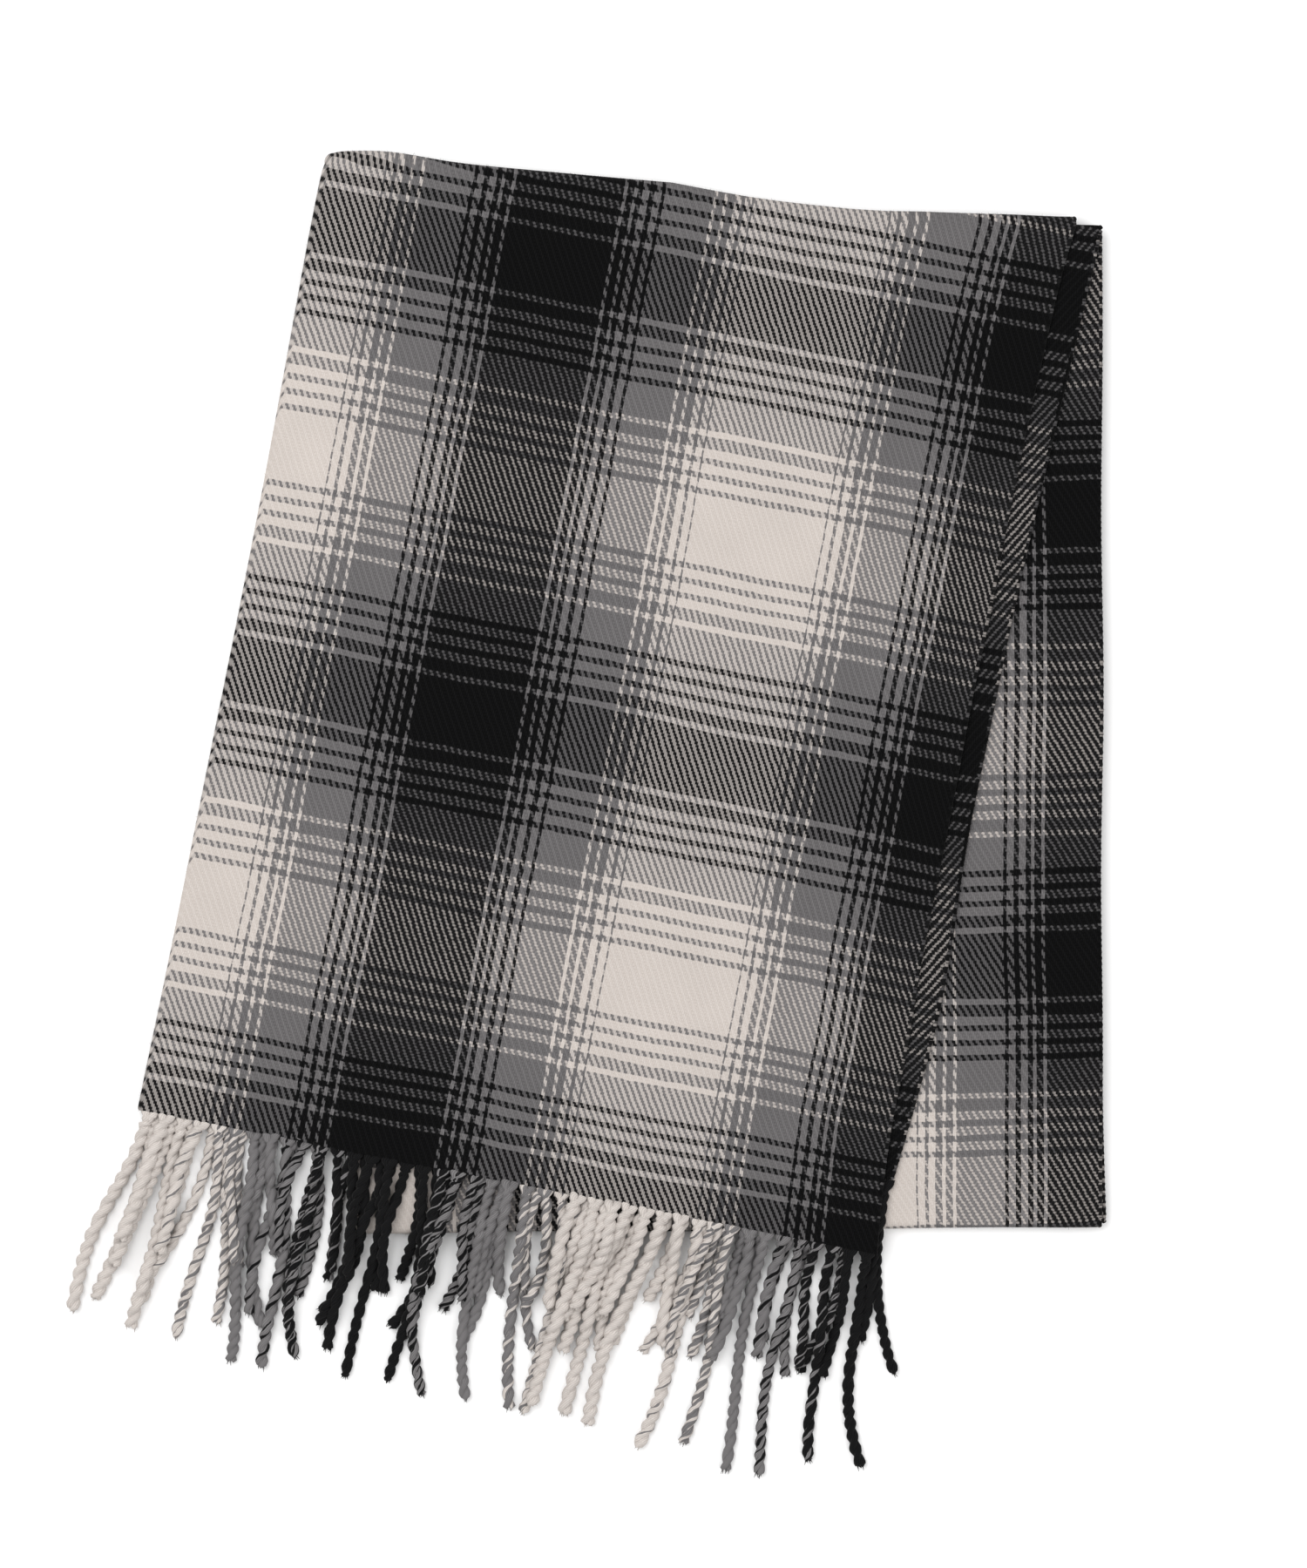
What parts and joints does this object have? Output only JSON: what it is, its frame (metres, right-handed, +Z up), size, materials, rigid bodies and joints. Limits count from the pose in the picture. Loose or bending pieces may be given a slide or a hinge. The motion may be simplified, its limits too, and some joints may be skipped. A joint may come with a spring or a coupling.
{
  "type": "folded throw blanket",
  "caption": "Fringed twill throw folded along its length and twice across, with a front leaf turned aslant over a straight middle leaf and a hidden back leaf.",
  "frame": {"origin": "on the surface that the throw lies on, below the middle of its whole outline", "axes": "+X to the right across the leaves, +Y from the fringe towards the top fold, +Z up out of the stack"},
  "size_m": [0.6798, 0.8726, 0.0164],
  "materials": {
    "cloth": "brushed twill in an ombre check of black, mid grey and ivory yarn",
    "fringe": "twisted two-ply tassels of the warp yarns, softly hairy"
  },
  "bodies": {
    "middle_leaf": {"middle_upper_ply": "cloth", "middle_lower_ply": "cloth", "middle_side_fold": "cloth", "top_fold_outer": "cloth", "top_fold_inner": "cloth", "bottom_fold_outer": "cloth", "bottom_fold_inner": "cloth"},
    "front_leaf": {"front_upper_ply": "cloth", "front_lower_ply": "cloth", "front_side_fold": "cloth", "front_fringe_upper": "fringe", "front_fringe_lower": "fringe"},
    "back_leaf": {"back_upper_ply": "cloth", "back_lower_ply": "cloth", "back_side_fold": "cloth", "back_fringe_upper": "fringe", "back_fringe_lower": "fringe"}
  },
  "joints": [
    {"name": "top_fold", "type": "hinge", "parent": "middle_leaf", "child": "front_leaf", "pos_m": [-0.17284, 0.43092, 0.011], "axis": [-0.9968, 0.0802, 0], "range_deg": [0, 180], "deforming": ["top_fold_outer", "top_fold_inner"]},
    {"name": "bottom_fold", "type": "hinge", "parent": "middle_leaf", "child": "back_leaf", "pos_m": [0.33689, -0.26678, 0.0054], "axis": [-1, -0.0087, 0], "range_deg": [0, 180], "deforming": ["bottom_fold_outer", "bottom_fold_inner"]}
  ]
}
